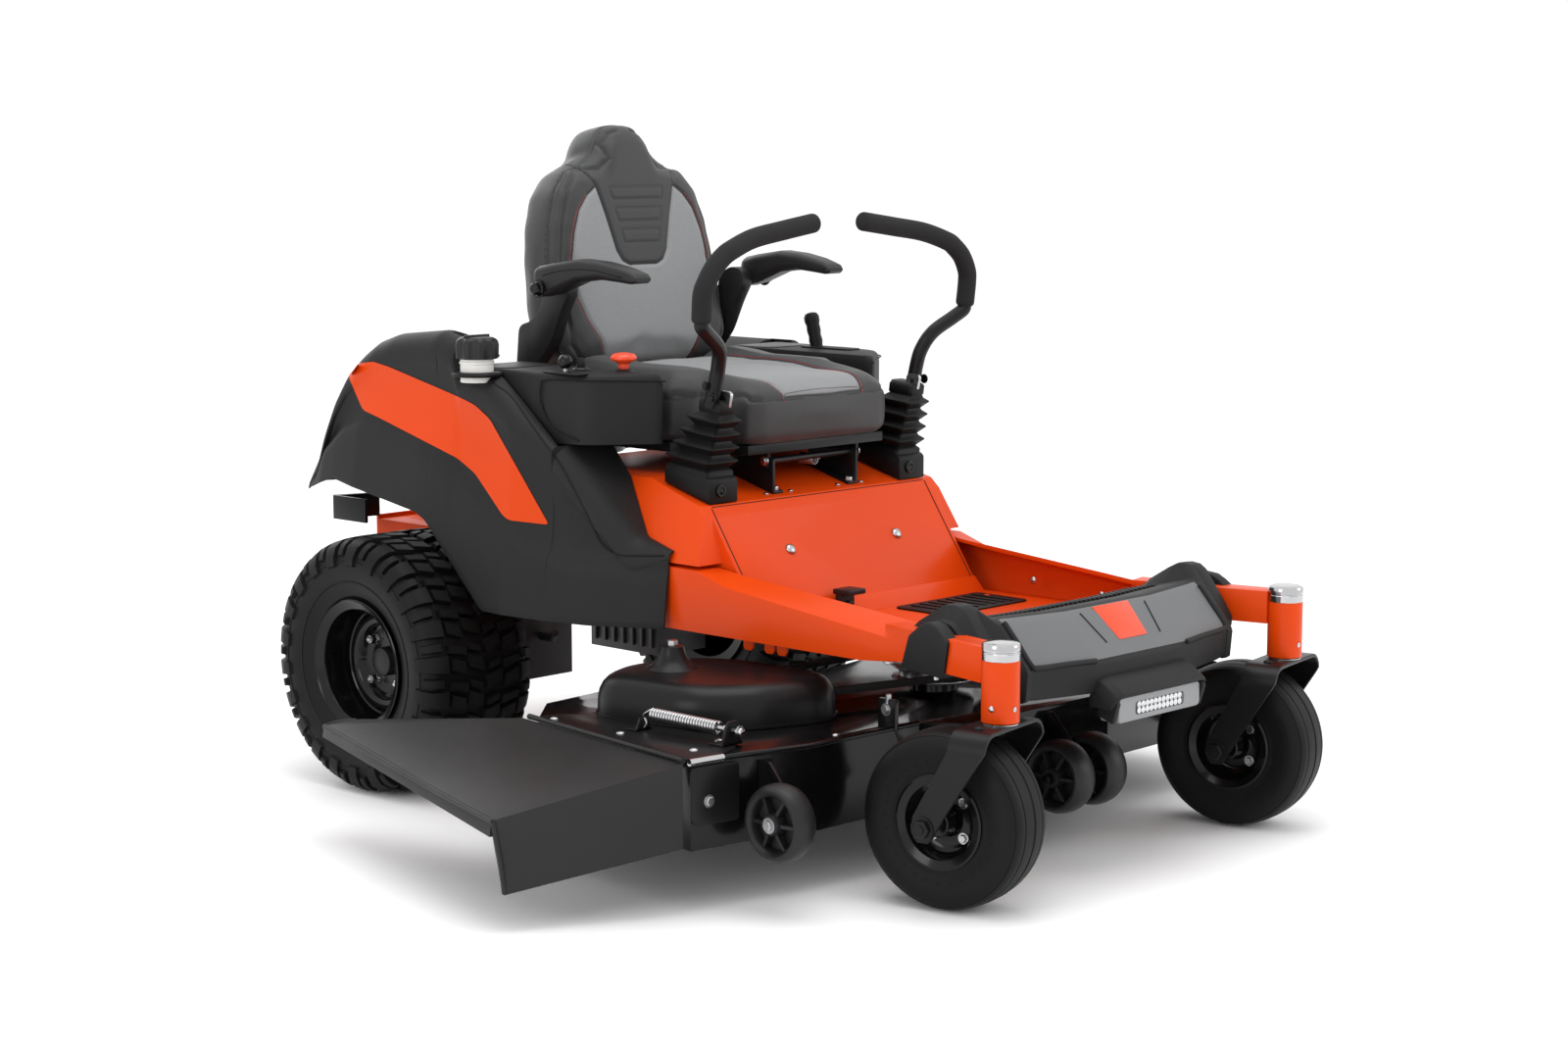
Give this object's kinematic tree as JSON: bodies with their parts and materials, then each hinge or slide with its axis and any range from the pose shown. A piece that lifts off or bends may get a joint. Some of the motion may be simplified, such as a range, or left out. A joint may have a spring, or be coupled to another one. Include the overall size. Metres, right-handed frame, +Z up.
{
  "type": "zero turn mower",
  "caption": "Ride-on zero turn mower with lap-bar steering, swivelling front casters, a tilting seat and a side-discharge deck with driven blades.",
  "frame": {"origin": "bottom centre of the whole machine's box, on the ground; the machine's centre plane is x = 0.137 m because the discharge chute sticks out on the right", "axes": "+Z up, +Y towards the rear (the machine faces -Y), +X to the operator's left"},
  "size_m": [1.646, 1.7846, 1.1861],
  "materials": {
    "orange_steel": "gloss",
    "charcoal_plastic": "matte",
    "grey_plastic": "matte",
    "silver": "satin",
    "black_plastic": "satin",
    "red_plastic": "satin",
    "black_steel": "gloss",
    "tyre": "matte",
    "rubber": "matte",
    "foam": "matte",
    "vinyl": "satin",
    "cast_metal": "cast",
    "steel": "satin"
  },
  "bodies": {
    "chassis": {"frame_side_right": "orange_steel", "frame_side_left": "orange_steel", "rear_frame": "orange_steel", "floor_pan": "orange_steel", "seat_box": "orange_steel", "foot_plate": "grey_plastic", "light_bar": "silver", "fender_right": "charcoal_plastic", "fender_left": "charcoal_plastic", "console_right": "charcoal_plastic", "console_left": "charcoal_plastic", "seat_bracket": "black_steel", "boot_right": "rubber", "boot_left": "rubber", "engine_block": "cast_metal", "engine_shroud": "black_plastic", "muffler": "steel", "transaxle_right": "cast_metal", "transaxle_left": "cast_metal"},
    "seat": {"seat_pan": "black_steel", "seat_cushion": "vinyl", "seat_back": "vinyl"},
    "armrest_right": {"armrest_right": "black_plastic"},
    "armrest_left": {"armrest_left": "black_plastic"},
    "rear_wheel_right": {"rear_rim_right": "black_steel", "rear_tyre_right": "tyre"},
    "rear_wheel_left": {"rear_rim_left": "black_steel", "rear_tyre_left": "tyre"},
    "caster_right": {"caster_fork_right": "black_steel"},
    "caster_left": {"caster_fork_left": "black_steel"},
    "caster_wheel_right": {"caster_rim_right": "black_steel", "caster_tyre_right": "tyre"},
    "caster_wheel_left": {"caster_rim_left": "black_steel", "caster_tyre_left": "tyre"},
    "lever_base_right": {"lever_plate_right": "steel"},
    "lever_base_left": {"lever_plate_left": "steel"},
    "lever_right": {"lever_right": "black_steel", "grip_right": "foam"},
    "lever_left": {"lever_left": "black_steel", "grip_left": "foam"},
    "deck": {"deck_shell": "black_steel", "belt_cover_right": "black_steel", "belt_cover_left": "black_steel", "deck_belt": "rubber"},
    "deflector": {"chute_deflector": "rubber"},
    "cutter_right": {"spindle_right": "steel", "blade_right": "steel"},
    "cutter_centre": {"spindle_centre": "steel", "blade_centre": "steel"},
    "cutter_left": {"spindle_left": "steel", "blade_left": "steel"},
    "deck_wheel_right": {"deck_wheel_right": "black_plastic"},
    "deck_wheel_left": {"deck_wheel_left": "black_plastic"},
    "front_roller_right": {"front_roller_right": "black_plastic"},
    "front_roller_left": {"front_roller_left": "black_plastic"},
    "crank_pulley": {"crank_pulley": "steel"},
    "pto_knob": {"pto_knob": "red_plastic"},
    "throttle_lever": {"throttle_lever": "black_plastic"},
    "lift_lever": {"lift_lever": "foam"},
    "fuel_cap": {"fuel_cap": "black_plastic"}
  },
  "joints": [
    {"name": "rear_wheel_right_spin", "type": "hinge", "parent": "chassis", "child": "rear_wheel_right", "pos_m": [-0.2935, 0.50029, 0.22731], "axis": [1, 0, 0], "continuous": true},
    {"name": "rear_wheel_left_spin", "type": "hinge", "parent": "chassis", "child": "rear_wheel_left", "pos_m": [0.5675, 0.50029, 0.22731], "axis": [1, 0, 0], "continuous": true},
    {"name": "caster_right_swivel", "type": "hinge", "parent": "chassis", "child": "caster_right", "pos_m": [-0.235, -0.82571, 0.33881], "axis": [0, 0, 1], "continuous": true},
    {"name": "caster_wheel_right_spin", "type": "hinge", "parent": "caster_right", "child": "caster_wheel_right", "pos_m": [-0.24939, -0.74956, 0.13831], "axis": [0.9826, 0.1857, 0], "continuous": true},
    {"name": "caster_left_swivel", "type": "hinge", "parent": "chassis", "child": "caster_left", "pos_m": [0.509, -0.82571, 0.33881], "axis": [0, 0, 1], "continuous": true},
    {"name": "caster_wheel_left_spin", "type": "hinge", "parent": "caster_left", "child": "caster_wheel_left", "pos_m": [0.49461, -0.74956, 0.13831], "axis": [0.9826, 0.1857, 0], "continuous": true},
    {"name": "seat_tilt", "type": "hinge", "parent": "chassis", "child": "seat", "pos_m": [0.137, -0.08471, 0.60081], "axis": [1, 0, 0], "range_deg": [0, 24]},
    {"name": "armrest_right_flip", "type": "hinge", "parent": "seat", "child": "armrest_right", "pos_m": [-0.121, 0.30029, 0.88281], "axis": [1, 0, 0], "range_deg": [-80, 0]},
    {"name": "armrest_left_flip", "type": "hinge", "parent": "seat", "child": "armrest_left", "pos_m": [0.395, 0.30029, 0.88281], "axis": [1, 0, 0], "range_deg": [-80, 0]},
    {"name": "lever_right_drive", "type": "hinge", "parent": "chassis", "child": "lever_base_right", "pos_m": [-0.101, -0.07171, 0.49881], "axis": [1, 0, 0], "range_deg": [-9, 15], "deforming": ["boot_right"]},
    {"name": "lever_right_swing", "type": "hinge", "parent": "lever_base_right", "child": "lever_right", "pos_m": [-0.106, -0.10171, 0.70281], "axis": [0, 1, 0], "range_deg": [-35, 0]},
    {"name": "lever_left_drive", "type": "hinge", "parent": "chassis", "child": "lever_base_left", "pos_m": [0.375, -0.07171, 0.49881], "axis": [1, 0, 0], "range_deg": [-9, 15], "deforming": ["boot_left"]},
    {"name": "lever_left_swing", "type": "hinge", "parent": "lever_base_left", "child": "lever_left", "pos_m": [0.38, -0.10171, 0.70281], "axis": [0, 1, 0], "range_deg": [0, 35]},
    {"name": "deck_lift", "type": "slide", "parent": "chassis", "child": "deck", "axis": [0, 0, 1], "range_m": [-0.055, 0]},
    {"name": "lift_lever_swing", "type": "hinge", "parent": "chassis", "child": "lift_lever", "pos_m": [0.477, 0.17029, 0.59881], "axis": [1, 0, 0], "range_deg": [0, 25.1]},
    {"name": "deflector_hinge", "type": "hinge", "parent": "deck", "child": "deflector", "pos_m": [-0.577, -0.50171, 0.22981], "axis": [0.1434, 0.9897, 0], "range_deg": [0, 70]},
    {"name": "crank_spin", "type": "hinge", "parent": "chassis", "child": "crank_pulley", "pos_m": [0.137, 0.62029, 0.37881], "axis": [0, 0, 1], "continuous": true},
    {"name": "cutter_right_spin", "type": "hinge", "parent": "deck", "child": "cutter_right", "pos_m": [-0.295, -0.25771, 0.19881], "axis": [0, 0, 1], "continuous": true},
    {"name": "cutter_centre_spin", "type": "hinge", "parent": "deck", "child": "cutter_centre", "pos_m": [0.137, -0.37671, 0.19881], "axis": [0, 0, 1], "continuous": true},
    {"name": "cutter_left_spin", "type": "hinge", "parent": "deck", "child": "cutter_left", "pos_m": [0.569, -0.25771, 0.19881], "axis": [0, 0, 1], "continuous": true},
    {"name": "deck_wheel_right_spin", "type": "hinge", "parent": "deck", "child": "deck_wheel_right", "pos_m": [-0.465, -0.59371, 0.13981], "axis": [1, 0, 0], "continuous": true},
    {"name": "deck_wheel_left_spin", "type": "hinge", "parent": "deck", "child": "deck_wheel_left", "pos_m": [0.739, -0.59371, 0.13981], "axis": [1, 0, 0], "continuous": true},
    {"name": "front_roller_right_spin", "type": "hinge", "parent": "deck", "child": "front_roller_right", "pos_m": [0.095, -0.67971, 0.13281], "axis": [1, 0, 0], "continuous": true},
    {"name": "front_roller_left_spin", "type": "hinge", "parent": "deck", "child": "front_roller_left", "pos_m": [0.179, -0.67971, 0.13281], "axis": [1, 0, 0], "continuous": true},
    {"name": "pto_knob_pull", "type": "slide", "parent": "chassis", "child": "pto_knob", "axis": [0, 0, 1], "range_m": [0, 0.015]},
    {"name": "throttle_swing", "type": "hinge", "parent": "chassis", "child": "throttle_lever", "pos_m": [-0.235, 0.12829, 0.69881], "axis": [1, 0, 0], "range_deg": [-20, 20]},
    {"name": "fuel_cap_turn", "type": "hinge", "parent": "chassis", "child": "fuel_cap", "pos_m": [-0.287, 0.29629, 0.78881], "axis": [0, 0, 1], "range_deg": [0, 120]}
  ],
  "couplings": [
    {"joint": "lift_lever_swing", "follows": "deck_lift", "rad_per_m": -7.93},
    {"joint": "cutter_right_spin", "follows": "crank_spin", "ratio": 0.9722},
    {"joint": "cutter_centre_spin", "follows": "crank_spin", "ratio": 0.9722},
    {"joint": "cutter_left_spin", "follows": "crank_spin", "ratio": 0.9722}
  ]
}
